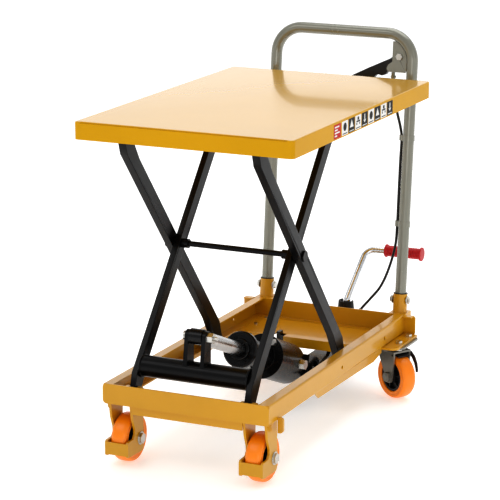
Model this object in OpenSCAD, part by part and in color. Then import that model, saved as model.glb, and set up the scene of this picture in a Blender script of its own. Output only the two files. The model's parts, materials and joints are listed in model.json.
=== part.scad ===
// Scissor lift table truck: a deck on one pair of crossed arms, raised by a foot-pumped ram.
// Millimetres, Z up. The layout frame has its origin on the floor below the deck's middle,
// with X to the right and Y towards the push handle; place() moves it to the part's origin.

/* [Deck] */
// Length of the deck
deck_l = 700; // [660:10:760]
// Width of the deck
deck_w = 450; // [400:10:500]
// Depth of the deck rim
deck_rim = 34; // [28:1:40]
// Sheet thickness of the deck
deck_t = 3; // [2:0.5:4]
// Radius of the deck's upright corners
deck_corner_r = 9; // [6:1:20]
// Radius along the deck's top edge
deck_edge_r = 2.5; // [1:0.5:4]

/* [Scissor] */
// Distance from the middle pin to an end pin of an arm
arm_half = 322.7; // [316:0.1:326]
// Angle of the line through an arm's pins above the floor
rest_angle = 51.5; // [35:0.5:60]
// Distance of an arm's end pins from its bar's centre line
arm_crank = 11; // [4:1:12]
// Depth of an arm bar
arm_depth = 27; // [22:1:28]
// Thickness of an inner arm
inner_arm_t = 12.3; // [8:0.1:14]
// Thickness of an outer arm
outer_arm_t = 16; // [8:0.5:16]
// Diameter of the tube that joins the inner arms
cross_tube_d = 42; // [34:1:48]
// Diameter of the rollers under the deck
table_roller_d = 24; // [20:1:24]
// Diameter of the rollers in the base rails
base_roller_d = 32; // [26:1:33]

/* [Base] */
// Overall width across the base rails
base_w = 350; // [344:1:360]
// Height of the base rails
rail_h = 40; // [38:1:44]
// Height of the rails' underside above the floor
rail_z = 124; // [122:1:126]
// Sheet thickness of the rails
rail_t = 3; // [2:0.5:4]
// Width of the rail flanges
rail_flange = 22; // [18:1:23]

/* [Wheels] */
// Diameter of all four wheels
wheel_d = 96; // [90:1:98]
// Width of all four wheels
wheel_w = 32; // [26:1:34]
// Trail of the swivel casters
caster_trail = 20; // [15:1:24]
// Heading of the right caster
caster_turn_right = -31; // [-180:1:180]
// Heading of the left caster
caster_turn_left = -65; // [-180:1:180]

/* [Handle] */
// Diameter of the push handle tube
handle_d = 24; // [20:1:26]
// Distance from the middle to each handle leg
handle_half = 156; // [150:1:158]
// Height of the top of the handle
handle_top = 763; // [720:1:850]
// Backward lean of the handle
handle_lean = 5.5; // [0:0.5:10]
// Centre-line radius of the handle's bends
handle_bend_r = 58; // [40:1:60]

/* [Cylinder] */
// Diameter of the piston rod
rod_d = 28; // [20:1:30]
// Diameter of the barrel
barrel_d = 54; // [50:1:58]
// Diameter of the gland disc
gland_d = 74; // [66:1:80]
// Diameter of the oil tank
tank_d = 86; // [76:1:90]
// Slope of the cylinder
cyl_slope = 21.8; // [20:0.1:23]

/* [Pedal] */
// Diameter of the pedal tube
pedal_d = 15; // [12:0.5:16]
// Diameter of the pedal grip
grip_d = 24; // [20:1:28]
// Length of the pedal grip
grip_l = 80; // [60:1:90]

/* [Hidden] */

$fn = 64;

// the layout frame against the middle of the whole part's plan outline
x_mid = 2.6;
y_mid = 60.5;

eps = 0.01;
run_gap = 0.05;

// scissor pivots, as (y, z)
pivot_y = -317;
pivot_z = 143.5;
arm_l = 2 * arm_half;
table_pivot_z = pivot_z + arm_l * sin(rest_angle);
centre_y = pivot_y + arm_half * cos(rest_angle);
centre_z = pivot_z + arm_half * sin(rest_angle);
rear_pin_y = pivot_y + arm_l * cos(rest_angle);
pivot_drop = 22;
deck_top = table_pivot_z + pivot_drop;
inner_x = 127 - inner_arm_t;
inner_out = 127;
outer_x = 129.7;
outer_out = outer_x + outer_arm_t;
arm_nose_r = 12;
arm_reach = sqrt(arm_half * arm_half - arm_crank * arm_crank);
bar_angle = rest_angle - asin(arm_crank / arm_half);
pivot_pin_d = 14;
small_pin_d = 12;

// base
half_w = base_w / 2;
rail_top = rail_z + rail_h;
rail_in = half_w - rail_flange;
front_y = -344;
front_t = 2.5;
wall_y = 353;
wall_t = 3;
tray_y = 215;
tray_t = 2.5;
bracket_t = 5;
plate_t = 4;
skirt_z = 105;

// wheels
wheel_r = wheel_d / 2;
front_x = 142;
front_wheel_y = -300;
caster_x = 165;
caster_y = 305;
axle_d = 12;
hub_r = 32;
fork_gap = 40;
fork_t = 5;

// handle
leg_y = 375;
leg_z = 160;
handle_r = handle_d / 2;
handle_wall = 2;
bar_h = (handle_top - handle_r - leg_z) / cos(handle_lean);

// cylinder: rear end at the pump, front end at the ears on the cross tube
pump_y = 170;
pump_z = 80;
cyl_l = 490;
ear_y = pump_y - cyl_l * cos(cyl_slope);
ear_z = pump_z + cyl_l * sin(cyl_slope);
tube_y = pivot_y + 27;
tube_z = pivot_z + 48.5;
bore_r = 23.5;
pump_pin_y = pump_y - 1;
pump_pin_z = pump_z - 4.1;

// pedal
pedal_x = 25;
pedal_y = 388;
pedal_z = 150;

// ---------- shared shapes ----------

module place() {
    translate([-x_mid, -y_mid, 0])
        children();
}

module box(x0, x1, y0, y1, z0, z1) {
    translate([x0, y0, z0])
        cube([x1 - x0, y1 - y0, z1 - z0]);
}

// round bar along X
module rod_x(x0, x1, y, z, r) {
    translate([x0, y, z])
        rotate([0, 90, 0])
            cylinder(h = x1 - x0, r = r);
}

// the children, drawn as (y, z), given thickness along X
module slab_x(x0, x1) {
    translate([x0, 0, 0])
        rotate([90, 0, 90])
            linear_extrude(x1 - x0)
                children();
}

// the children, drawn as (x, z), given thickness along Y
module slab_y(y0, y1) {
    translate([0, y1, 0])
        rotate([90, 0, 0])
            linear_extrude(y1 - y0)
                children();
}

// round bar between two points
module seg(p, q, r) {
    d = q - p;
    l = norm(d);
    translate(p)
        rotate([0, acos(d.z / l), atan2(d.y, d.x)])
            cylinder(h = l, r = r);
}

module both() {
    children();
    mirror([1, 0, 0])
        children();
}

// rectangle with round corners
module round_rect(x0, x1, y0, y1, r) {
    translate([x0 + r, y0])
        square([x1 - x0 - 2 * r, y1 - y0]);
    translate([x0, y0 + r])
        square([x1 - x0, y1 - y0 - 2 * r]);
    for (x = [x0 + r, x1 - r])
        for (y = [y0 + r, y1 - r])
            translate([x, y])
                circle(r);
}

// hexagon nut or bolt head along X, with the across-flats size s
module hex_x(x0, x1, y, z, s) {
    translate([x0, y, z])
        rotate([0, 90, 0])
            cylinder(h = x1 - x0, d = s / cos(30), $fn = 6);
}

// hexagon head along Z
module hex_z(x, y, z0, z1, s) {
    translate([x, y, z0])
        cylinder(h = z1 - z0, d = s / cos(30), $fn = 6);
}

// ---------- base ----------

// folded channel, open towards the middle
module rail_section() {
    bend = 4;
    difference() {
        round_rect(rail_in - bend, half_w, rail_z, rail_top, bend);
        translate([rail_in - 2 * bend, rail_z + rail_t])
            square([rail_flange + 2 * bend - rail_t, rail_h - 2 * rail_t]);
        translate([rail_in - 2 * bend, rail_z - 1])
            square([2 * bend, rail_h + 2]);
    }
}

// lower edge strip below the rail, from the middle of the base to the caster bracket
module skirt() {
    slab_x(half_w - 2 * rail_t, half_w - rail_t)
        polygon([[-121, rail_z + 1.5], [-101, skirt_z + 5], [188, skirt_z],
                 [232, skirt_z + 8], [232, rail_z + 1.5]]);
}

module rail() {
    color("goldenrod") {
        difference() {
            slab_y(front_y + front_t, wall_y)
                rail_section();
            for (y = [11, 241])
                rod_x(half_w - 10, half_w + 10, y, 142, 4);
        }
        skirt();
        // tie-down tab
        slab_y(-304, -297)
            difference() {
                round_rect(half_w - 6, half_w + 11, 100, 130, 6);
                translate([half_w - 10, 90])
                    square([10, 50]);
            }
    }
}

module rail_right() {
    rail();
}

module rail_left() {
    mirror([1, 0, 0])
        rail();
}

module front_plate() {
    color("goldenrod") {
        slab_y(front_y, front_y + front_t)
            round_rect(-half_w, half_w, rail_z, rail_top, 8);
        box(-rail_in, rail_in, front_y + front_t, -290, rail_z, rail_z + tray_t);
    }
}

module front_cross_strip() {
    color("goldenrod")
        box(-117, 117, -336.5, -334, rail_z - 18, rail_z);
}

module rear_tray() {
    notch = [-70, -45];
    color("goldenrod")
        difference() {
            union() {
                // floor, front lip and rear wall with its ears
                box(-rail_in, rail_in, tray_y, wall_y, rail_z, rail_z + tray_t);
                box(-118, 118, tray_y, tray_y + tray_t, rail_z - 18, rail_z + tray_t);
                slab_y(wall_y, wall_y + wall_t)
                    polygon([[-200, 160], [-196, rail_top], [196, rail_top], [200, 160],
                             [200, 126], [180, 102], [150, 102], [146, rail_z],
                             [-146, rail_z], [-150, 102], [-180, 102], [-200, 126]]);
                both()
                    box(half_w, 196, wall_y - 12, wall_y, rail_top - 3, rail_top);
            }
            box(notch[0], notch[1], tray_y - 1, tray_y + 22, rail_z - 20, rail_z + 5);
            both()
                for (y = [277, 333])
                    translate([137, y, rail_z - 1])
                        cylinder(h = 6, r = 4);
        }
}

module caster_bracket() {
    x0 = 120;
    x1 = 205;
    r = 16;
    difference() {
        translate([0, 0, rail_z - bracket_t])
            linear_extrude(bracket_t)
                difference() {
                    union() {
                        round_rect(x0, x1, 233, 300, r);
                        translate([x0, 260])
                            square([x1 - x0, wall_y - 260]);
                    }
                    for (y = [277, 333])
                        for (x = [137, 193])
                            translate([x, y])
                                circle(4.2);
                    round_rect(167, 173, 240, 252, 2.9);
                }
    }
}

module caster_brackets() {
    color("goldenrod")
        both()
            caster_bracket();
}

module caster_plate() {
    z1 = rail_z - bracket_t;
    translate([caster_x, caster_y, z1 - plate_t])
        linear_extrude(plate_t)
            difference() {
                round_rect(-45, 45, -45, 45, 8);
                for (x = [-28, 28])
                    for (y = [-28, 28])
                        translate([x, y])
                            circle(4.2);
            }
    // king pin and bearing race below the plate
    translate([caster_x, caster_y, z1 - plate_t - 3])
        cylinder(h = 3, r = 22);
    translate([caster_x, caster_y, 98])
        cylinder(h = z1 - plate_t - 98, r = 6);
    translate([caster_x, caster_y, 97])
        cylinder(h = 3.5, r = 11);
}

module caster_plates() {
    color("dimgray")
        both()
            caster_plate();
}

module caster_bolts() {
    color("silver")
        both()
            for (x = [137, 193])
                for (y = [277, 333]) {
                    translate([x, y, rail_z - bracket_t - plate_t - 5])
                        cylinder(h = bracket_t + plate_t + 8, r = 4);
                    hex_z(x, y, rail_z, rail_z + 5.5, x > half_w ? 13 : 6.9);
                    hex_z(x, y, rail_z - bracket_t - plate_t - 6, rail_z - bracket_t - plate_t, 13);
                }
}

// outline of a front fork side, as (y, z)
module fork_side() {
    difference() {
        union() {
            polygon([[-336, rail_z], [-331, 94], [-322, 71], [-322, 62], [-328, 54],
                     [-350, 53], [-353, 50], [-353, 24], [-350, 22], [-306, 21],
                     [-291, 21], [-287, 26], [-287, rail_z]]);
            translate([front_wheel_y, wheel_r])
                circle(16);
        }
        translate([front_wheel_y, wheel_r])
            circle(axle_d / 2);
    }
}

module front_fork() {
    xi = front_x - fork_gap / 2;
    xo = front_x + fork_gap / 2;
    color("goldenrod") {
        slab_x(xi - fork_t, xi)
            fork_side();
        slab_x(xo, xo + fork_t)
            fork_side();
        // toe guard in front of the wheel
        box(xi - 1, xo + 1, -353, -350, 25, 50);
    }
}

module front_fork_right() {
    front_fork();
}

module front_fork_left() {
    mirror([1, 0, 0])
        front_fork();
}

module front_axles() {
    xi = front_x - fork_gap / 2 - fork_t;
    xo = front_x + fork_gap / 2 + fork_t;
    color("silver")
        both() {
            rod_x(xi - 6, xo + 6, front_wheel_y, wheel_r, axle_d / 2);
            hex_x(xi - 6, xi, front_wheel_y, wheel_r, 19);
            hex_x(xo, xo + 6, front_wheel_y, wheel_r, 19);
            for (s = [0, 1])
                mirror([s, 0, 0])
                    translate([s == 1 ? -2 * front_x : 0, 0, 0])
                        difference() {
                            rod_x(front_x + wheel_w / 2 + 0.4, front_x + fork_gap / 2,
                                  front_wheel_y, wheel_r, 10);
                            rod_x(front_x, xo, front_wheel_y, wheel_r, axle_d / 2 - 1);
                        }
        }
}

module pivot_lug(x0, x1) {
    back = front_y + front_t;
    slab_x(x0, x1)
        difference() {
            union() {
                translate([back, pivot_z - 14])
                    square([pivot_y - back, 28]);
                translate([pivot_y, pivot_z])
                    circle(14);
                translate([back, rail_z + tray_t])
                    square([30, 8]);
            }
            translate([back - 20, rail_z])
                square([20, rail_h]);
            translate([pivot_y, pivot_z])
                circle(pivot_pin_d / 2);
        }
}

module pivot_lugs() {
    color("goldenrod")
        both() {
            pivot_lug(106, 113);
            pivot_lug(129, 137);
        }
}

// front hinge pins of the inner arms, and the pin through the pump's rear end
module base_pins() {
    color("silver") {
        both() {
            rod_x(104, 140, pivot_y, pivot_z, pivot_pin_d / 2);
            rod_x(102, 106, pivot_y, pivot_z, 10);
            rod_x(137, 141, pivot_y, pivot_z, 10);
        }
        rod_x(-66, 66, pump_pin_y, pump_pin_z, small_pin_d / 2);
        both()
            rod_x(62, 66, pump_pin_y, pump_pin_z, 9);
    }
}

module handle_frame() {
    translate([0, leg_y, leg_z])
        rotate([-handle_lean, 0, 0])
            children();
}

socket_r = 15;
socket_top = 44;
socket_low = -29;
bolt_h = 30;

module handle_socket() {
    y0 = wall_y + wall_t;
    y1 = 393;
    difference() {
        union() {
            // outrigger box behind the wall
            box(half_w - 3, half_w, y0, y1, rail_z + 3, rail_top);
            box(138, half_w, y0, y1, rail_top - 3, rail_top);
            box(138, 141, y0, y1, rail_z + 3, rail_top);
            handle_frame()
                translate([handle_half, 0, socket_low])
                    cylinder(h = socket_top - socket_low, r = socket_r);
        }
        handle_frame() {
            translate([handle_half, 0, socket_low + 4])
                cylinder(h = socket_top - socket_low, r = handle_r);
            rod_x(handle_half - 30, handle_half + 30, 0, bolt_h, 4.1);
        }
    }
}

module handle_sockets() {
    color("goldenrod")
        both()
            handle_socket();
}

// cross bolts of the sockets and the pivot bolt of the release lever
module handle_bolts() {
    color("silver")
        handle_frame() {
            both() {
                rod_x(handle_half - 20, handle_half + 22, 0, bolt_h, 4);
                hex_x(handle_half + socket_r, handle_half + socket_r + 6, 0, bolt_h, 13);
                hex_x(handle_half - socket_r - 6.5, handle_half - socket_r, 0, bolt_h, 13);
            }
            translate([lever_px, 12, lever_ph])
                rotate([90, 0, 0])
                    cylinder(h = 22, r = 4);
            translate([lever_px, gusset_y, lever_ph])
                rotate([90, 0, 0])
                    cylinder(h = 4, d = 15, $fn = 6);
            translate([lever_px, 12, lever_ph])
                rotate([90, 0, 0])
                    cylinder(h = 3.6, r = 7);
        }
}

// solid of the handle's centre line at radius r
module handle_path(r) {
    bx = handle_half - handle_bend_r;
    bz = bar_h - handle_bend_r;
    for (s = [-1, 1])
        translate([s * handle_half, 0, socket_low + 4])
            cylinder(h = bz - socket_low - 4, r = r);
    for (s = [0, 1])
        mirror([s, 0, 0])
            translate([bx, 0, bz])
                rotate([90, 0, 0])
                    rotate_extrude(angle = 90)
                        translate([handle_bend_r, 0])
                            circle(r);
    rod_x(-bx, bx, 0, bar_h, r);
}

module handle_tube() {
    color("gray")
        handle_frame()
            difference() {
                handle_path(handle_r);
                handle_path(handle_r - handle_wall);
                for (s = [-1, 1])
                    rod_x(s * handle_half - 20, s * handle_half + 20, 0, bolt_h, 4.1);
            }
}

// corner plate on the front of the handle, which carries the release lever
gusset_t = 3;
gusset_y = -7;
lever_px = 129;
lever_ph = 546;

module handle_gusset() {
    mid = [handle_half - handle_bend_r, bar_h - handle_bend_r];
    r = handle_bend_r - handle_r;
    curve = [for (t = [0:6:66]) mid + r * [cos(t), sin(t)]];
    color("gray")
        handle_frame()
            slab_y(gusset_y, gusset_y + gusset_t)
                difference() {
                    polygon(concat([[handle_half - handle_r, 513]], curve,
                                   [[113, mid[1] + 42], [113, 535], [104, 528], [101, 521],
                                    [102, 516], [107, 513]]));
                    translate([lever_px, lever_ph])
                        circle(4);
                }
}

// centre line of the release cable, from the handle to the pump
cable_d = 5.6;
cable_x = 140.5;
cable_pts = [
    [117, 417, 655], [120, 418, 620], [127, 418, 585], [136, 415, 555], [cable_x, 411, 532],
    [cable_x, 406, 490], [cable_x, 401, 440], [cable_x, 397, 395], [cable_x, 393, 352],
    [136, 395, 302],
    [120, 399, 248], [103, 396, 208], [82, 391, 180], [66, 385, 160], [57, 379, 146]
];
cable_steps = 4;
cable_sides = 8;

function spline(a, b, c, d, t) = 0.5 * ((2 * b) + (c - a) * t
    + (2 * a - 5 * b + 4 * c - d) * t * t + (3 * b - a - 3 * c + d) * t * t * t);
function at_pt(p, i) = p[max(0, min(len(p) - 1, i))];
function route(p) = concat(
    [for (i = [0:len(p) - 2]) for (k = [0:cable_steps - 1])
        spline(at_pt(p, i - 1), p[i], p[i + 1], at_pt(p, i + 2), k / cable_steps)],
    [p[len(p) - 1]]);
function unit(v) = v / norm(v);
function heading(p, i) = unit(at_pt(p, i + 1) - at_pt(p, i - 1));

module release_cable() {
    line = route(cable_pts);
    count = len(line);
    m = cable_sides;
    rings = [for (i = [0:count - 1])
        let (t = heading(line, i), u = unit(cross(t, [0, 1, 0])), v = cross(t, u))
        for (j = [0:m - 1])
            line[i] + cable_d / 2 * (u * cos(360 * j / m) + v * sin(360 * j / m))];
    sides = [for (i = [0:count - 2]) for (j = [0:m - 1])
        [i * m + (j + 1) % m, i * m + j, (i + 1) * m + j, (i + 1) * m + (j + 1) % m]];
    first = [for (j = [0:m - 1]) j];
    last = [for (j = [m - 1:-1:0]) (count - 1) * m + j];
    color("dimgray")
        polyhedron(rings, concat(sides, [first, last]));
}

// two clips on the right leg, the adjuster under the corner plate and the stop on the wall
module cable_clips() {
    color("silver") {
        for (h = [193, 376])
            handle_frame()
                difference() {
                    union() {
                        translate([handle_half, 0, h - 6])
                            cylinder(h = 12, r = handle_r + 1.2);
                        translate([cable_x, 0, h - 6])
                            cylinder(h = 12, r = 5);
                    }
                    translate([handle_half, 0, h - 7])
                        cylinder(h = 14, r = handle_r);
                    translate([cable_x, 0, h - 7])
                        cylinder(h = 14, r = 3.8);
                }
        // adjuster barrel
        translate([117, 417, 656])
            cylinder(h = 14.9, r = 4);
        hex_z(117, 417, 660, 664, 11);
        // stop for the outer sleeve
        translate([55, 378, 131])
            cylinder(h = 12, r = 4.5);
        box(50, 60, wall_y + wall_t, 380, 128, 131);
        box(50, 60, wall_y + wall_t, wall_y + wall_t + 2.5, 128, 152);
    }
}

// hangers under the tray that hold the pump's rear pin
module pump_bracket() {
    color("#151516") {
        box(-62, 62, 240, 300, rail_z - 3, rail_z);
        both()
            slab_x(54, 62)
                difference() {
                    union() {
                        translate([pump_pin_y, pump_pin_z])
                            circle(15);
                        polygon([[pump_pin_y - 8, pump_pin_z + 12.5],
                                 [212, 98], [240, rail_z - 3], [300, rail_z - 3],
                                 [300, 112], [270, 104], [pump_pin_y + 6, pump_pin_z - 13]]);
                    }
                    translate([pump_pin_y, pump_pin_z])
                        circle(small_pin_d / 2);
                }
        // upright ear in the notch of the tray's lip
        box(-62, -54, tray_y + 4, tray_y + 20, 104, 134);
    }
}

// ---------- scissor arms ----------

// arm bar about its middle pin, cranked at both ends towards its end pins:
// d0 is the pin hole at the negative end, d1 in the middle and d2 at the positive end
module arm_outline(d0, d1, d2) {
    h = arm_depth / 2;
    k = arm_reach;
    c = arm_crank;
    r = arm_nose_r;
    half = [[-k + 32, h], [-k + 7, c - 8], [-k, r - c], [-k, -r - c], [-k + 19, -c - 11],
            [-k + 37, -c - 8.5], [-k + 77, -h]];
    difference() {
        union() {
            polygon(concat(half, [for (p = half) -p]));
            for (e = [-1, 1])
                translate([e * k, e * c])
                    circle(r);
        }
        translate([-k, -c])
            circle(d0 / 2);
        circle(d1 / 2);
        translate([k, c])
            circle(d2 / 2);
    }
}

// rises towards the handle, hinged on the base in front
module inner_arm() {
    color("#151516")
        translate([0, centre_y, centre_z])
            rotate([bar_angle, 0, 0])
                slab_x(inner_x, inner_out)
                    arm_outline(pivot_pin_d + 2 * run_gap, pivot_pin_d, small_pin_d);
}

module inner_arm_right() {
    inner_arm();
}

module inner_arm_left() {
    mirror([1, 0, 0])
        inner_arm();
}

// falls towards the handle, hinged on the deck in front
module outer_arm() {
    color("#151516")
        translate([0, centre_y, centre_z])
            rotate([-bar_angle, 0, 0])
                slab_x(outer_x, outer_out)
                    mirror([0, 1])
                        arm_outline(small_pin_d + 2 * run_gap, pivot_pin_d + 2 * run_gap,
                                    small_pin_d);
}

module outer_arm_right() {
    outer_arm();
}

module outer_arm_left() {
    mirror([1, 0, 0])
        outer_arm();
}

module arm_cross_tube() {
    r = cross_tube_d / 2;
    bead = 2;
    color("#151516") {
        difference() {
            rod_x(-inner_x, inner_x, tube_y, tube_z, r);
            rod_x(-inner_x - 1, inner_x + 1, tube_y, tube_z, r - 3);
        }
        both()
            translate([inner_x - bead, tube_y, tube_z])
                rotate([0, 90, 0])
                    rotate_extrude()
                        translate([r, 0])
                            circle(bead, $fn = 16);
        cylinder_ears();
    }
}

// twin ears welded to the cross tube for the cylinder's front pin
module cylinder_ears() {
    both()
        slab_x(14, 22)
            difference() {
                union() {
                    translate([ear_y, ear_z])
                        circle(13);
                    polygon([[ear_y - 13, ear_z], [ear_y + 13, ear_z],
                             [tube_y + 16, tube_z + 10], [tube_y - 16, tube_z + 10]]);
                }
                translate([tube_y, tube_z])
                    circle(cross_tube_d / 2 - 1);
                translate([ear_y, ear_z])
                    circle(small_pin_d / 2);
            }
}

module ear_pin() {
    color("silver") {
        rod_x(-28, 34, ear_y, ear_z, small_pin_d / 2);
        rod_x(-28, -22, ear_y, ear_z, 9);
        hex_x(22, 34, ear_y, ear_z, 18);
        rod_x(34, 42, ear_y, ear_z, 4);
    }
}

// middle tie rod with the journals that the outer arms turn on
module centre_pins() {
    color("#151516") {
        rod_x(-inner_x, inner_x, centre_y, centre_z, 5.5);
        both() {
            rod_x(inner_x - 14, inner_x, centre_y, centre_z, 9);
            rod_x(inner_x - 1, outer_out + 3.5, centre_y, centre_z, pivot_pin_d / 2);
            difference() {
                rod_x(inner_out, outer_x - 0.4, centre_y, centre_z, 12);
                rod_x(inner_out - 1, outer_x, centre_y, centre_z, pivot_pin_d / 2 - 1);
            }
            rod_x(outer_out + 0.4, outer_out + 3.5, centre_y, centre_z, 11);
        }
    }
}

// stub pins of the deck rollers, at the inner arms' upper ends
module table_roller_pins() {
    color("silver")
        both() {
            rod_x(inner_x, 146.5, rear_pin_y, table_pivot_z, small_pin_d / 2);
            rod_x(inner_x - 4, inner_x, rear_pin_y, table_pivot_z, 8);
        }
}

// stub pins of the base rollers, at the outer arms' lower ends
module base_roller_pins() {
    color("silver")
        both() {
            rod_x(outer_x, 170.5, rear_pin_y, pivot_z, small_pin_d / 2);
            rod_x(outer_x - 2, outer_x, rear_pin_y, pivot_z, 8);
        }
}

module roller(x0, x1, z, d) {
    color("silver")
        difference() {
            rod_x(x0, x1, rear_pin_y, z, d / 2);
            rod_x(x0 - 1, x1 + 1, rear_pin_y, z, small_pin_d / 2 + run_gap);
        }
}

module table_roller_right() {
    roller(129, 145.5, table_pivot_z, table_roller_d);
}

module table_roller_left() {
    mirror([1, 0, 0])
        table_roller_right();
}

module base_roller_right() {
    roller(148.5, 169, pivot_z, base_roller_d);
}

module base_roller_left() {
    mirror([1, 0, 0])
        base_roller_right();
}

// ---------- deck ----------

module deck_plan(inset) {
    round_rect(-deck_w / 2 + inset, deck_w / 2 - inset, -deck_l / 2 + inset,
               deck_l / 2 - inset, deck_corner_r - inset);
}

module platform() {
    e = deck_edge_r;
    cx = deck_w / 2 - deck_corner_r;
    cy = deck_l / 2 - deck_corner_r;
    color("goldenrod")
        difference() {
            translate([0, 0, deck_top - deck_rim]) {
                linear_extrude(deck_rim - e)
                    deck_plan(0);
                linear_extrude(deck_rim)
                    deck_plan(e);
                translate([0, 0, deck_rim - e]) {
                    for (s = [-1, 1]) {
                        translate([s * (deck_w / 2 - e), -cy, 0])
                            rotate([-90, 0, 0])
                                cylinder(h = 2 * cy, r = e, $fn = 32);
                        rod_x(-cx, cx, s * (deck_l / 2 - e), 0, e, $fn = 32);
                        for (t = [-1, 1])
                            translate([s * cx, t * cy, 0])
                                rotate_extrude()
                                    translate([deck_corner_r - e, 0])
                                        circle(e, $fn = 32);
                    }
                }
            }
            translate([0, 0, deck_top - deck_rim - 1])
                linear_extrude(deck_rim - deck_t + 1)
                    deck_plan(deck_t);
        }
}

// roller channels under the deck
module table_channels() {
    top = deck_top - deck_t;
    roof = table_pivot_z + table_roller_d / 2 + 0.3;
    bed = table_pivot_z - table_roller_d / 2 - 0.3;
    t = 2.5;
    color("goldenrod")
        both() {
            box(147.5, 150, -75, 345, bed - t, top);
            box(128.5, 147.5, -75, 345, roof, roof + t);
            box(128.5, 147.5, -75, 345, bed - t, bed);
        }
}

// hinge plates and pins at the deck's front
module table_pivots() {
    top = deck_top - deck_t;
    both() {
        color("goldenrod")
            for (x = [125.3, outer_out + 0.4])
                slab_x(x, x + 4)
                    difference() {
                        union() {
                            translate([pivot_y, table_pivot_z])
                                circle(12);
                            translate([pivot_y - 12, table_pivot_z])
                                square([24, top - table_pivot_z]);
                        }
                        translate([pivot_y, table_pivot_z])
                            circle(small_pin_d / 2 - 1);
                    }
        color("silver")
            rod_x(122, outer_out + 7, pivot_y, table_pivot_z, small_pin_d / 2);
    }
}

// ---------- lifting cylinder and pump ----------

// local z runs along the cylinder from the pump's rear pin to the ears
module cyl_frame() {
    translate([0, pump_y, pump_z])
        rotate([90 - cyl_slope, 0, 0])
            children();
}

rod_len = 340;

module piston_rod() {
    color("silver")
        cyl_frame() {
            difference() {
                union() {
                    translate([0, 0, cyl_l - rod_len])
                        cylinder(h = rod_len - 8, r = rod_d / 2);
                    rod_x(-13.5, 13.5, 0, cyl_l, 15);
                    translate([0, 0, cyl_l - 34])
                        cylinder(h = 22, r = 12);
                }
                rod_x(-15, 15, 0, cyl_l, small_pin_d / 2 + run_gap);
            }
            translate([0, 0, cyl_l - rod_len])
                cylinder(h = 18, r = bore_r - 0.3);
        }
}

module cylinder_barrel() {
    color("#151516")
        cyl_frame()
            difference() {
                translate([0, 0, 40])
                    cylinder(h = 236, r = barrel_d / 2);
                translate([0, 0, 48])
                    cylinder(h = 240, r = bore_r);
            }
}

module gland_disc() {
    color("#151516")
        cyl_frame()
            difference() {
                union() {
                    translate([0, 0, 276])
                        cylinder(h = 9, r = gland_d / 2);
                    translate([0, 0, 285])
                        cylinder(h = 3, r1 = gland_d / 2, r2 = gland_d / 2 - 3);
                }
                translate([0, 0, 270])
                    cylinder(h = 30, r = rod_d / 2 + 0.3);
            }
}

// tank around the barrel with its flange
module oil_tank() {
    color("#151516")
        cyl_frame()
            difference() {
                union() {
                    translate([0, 0, 45])
                        cylinder(h = 120, r = tank_d / 2);
                    translate([0, 0, 165])
                        cylinder(h = 8, r = tank_d / 2 + 3);
                }
                translate([0, 0, 40])
                    cylinder(h = 140, r = barrel_d / 2);
                difference() {
                    translate([0, 0, 52])
                        cylinder(h = 106, r = tank_d / 2 - 3);
                    translate([0, 0, 51])
                        cylinder(h = 108, r = barrel_d / 2 + 3);
                }
            }
}

pump_hole_r = small_pin_d / 2 + 9;

// casting at the rear: cheeks around the rear pin, a neck under the tray and the pump barrel
module pump_block() {
    color("#151516")
        difference() {
            union() {
                cyl_frame() {
                    rod_x(-48, 48, 0, 0, 24);
                    translate([-48, -24, 0])
                        cube([96, 48, 40]);
                }
                box(5, 45, 182, 392, 46, 88);
                translate([pedal_x, 392, 46])
                    cylinder(h = 84, r = 17);
            }
            rod_x(-50, 50, pump_y, pump_z, pump_hole_r);
            translate([pedal_x, 392, 82])
                cylinder(h = 60, r = 7 + run_gap);
        }
}

// plugs and valve caps on the pump, and the pedal's pin with its two ears
module pump_fittings() {
    color("silver") {
        cyl_frame() {
            hex_x(tank_d / 2, tank_d / 2 + 12, 0, 70, 19);
            translate([22, 30, 173])
                cylinder(h = 12, d = 15, $fn = 6);
            translate([-24, -30, 173])
                cylinder(h = 9, d = 17, $fn = 6);
        }
        for (x = [pedal_x - 11.5, pedal_x + 8.5])
            slab_x(x, x + 3)
                polygon([[pedal_y - 5, 130], [pedal_y + 5, 130], [pedal_y + 4, pedal_z + 5],
                         [pedal_y - 4, pedal_z + 5]]);
        rod_x(pedal_x - 11.5, pedal_x + 11.5, pedal_y, pedal_z, 3);
        rod_x(48, 53.5, 150, 88, 3);
    }
}

// rubber boot over the pedal's root, open behind where the pedal swings
module pump_boot() {
    color("black")
        difference() {
            translate([pedal_x, 392, 130])
                cylinder(h = 40, r1 = 20, r2 = 16);
            translate([pedal_x, 392, 129])
                cylinder(h = 42, r1 = 17.2, r2 = 13.2);
            box(pedal_x - 11, pedal_x + 13, 388, 420, 141, 172);
        }
}

module pump_plunger() {
    color("silver")
        translate([pedal_x, 392, 94])
            cylinder(h = 48, r = 7);
}

// pedal centre line
pedal_pts = [[pedal_x, pedal_y, pedal_z], [28, 391, 172], [45, 450, 262], [58, 458, 271],
             [172, 460, 273]];

module pedal_tube() {
    r = pedal_d / 2;
    color("silver")
        difference() {
            union() {
                rod_x(pedal_x - 8, pedal_x + 8, pedal_y, pedal_z, 7);
                for (i = [0:3])
                    seg(pedal_pts[i], pedal_pts[i + 1], i == 0 ? r - 1.5 : r);
                for (i = [1:3])
                    translate(pedal_pts[i])
                        sphere(r + 0.15);
            }
            rod_x(pedal_x - 20, pedal_x + 20, pedal_y, pedal_z, 3 + run_gap);
        }
}

module pedal_grip() {
    x0 = 90;
    color("red")
        difference() {
            union() {
                translate([x0, 459, 272.2])
                    rotate([0, 90, 0])
                        cylinder(h = grip_l + 4, r = grip_d / 2);
                translate([x0, 459, 272.2])
                    rotate([0, 90, 0])
                        cylinder(h = 4, r = grip_d / 2 + 3);
            }
            seg(pedal_pts[3], pedal_pts[4], pedal_d / 2);
        }
}

// ---------- controls ----------

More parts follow.
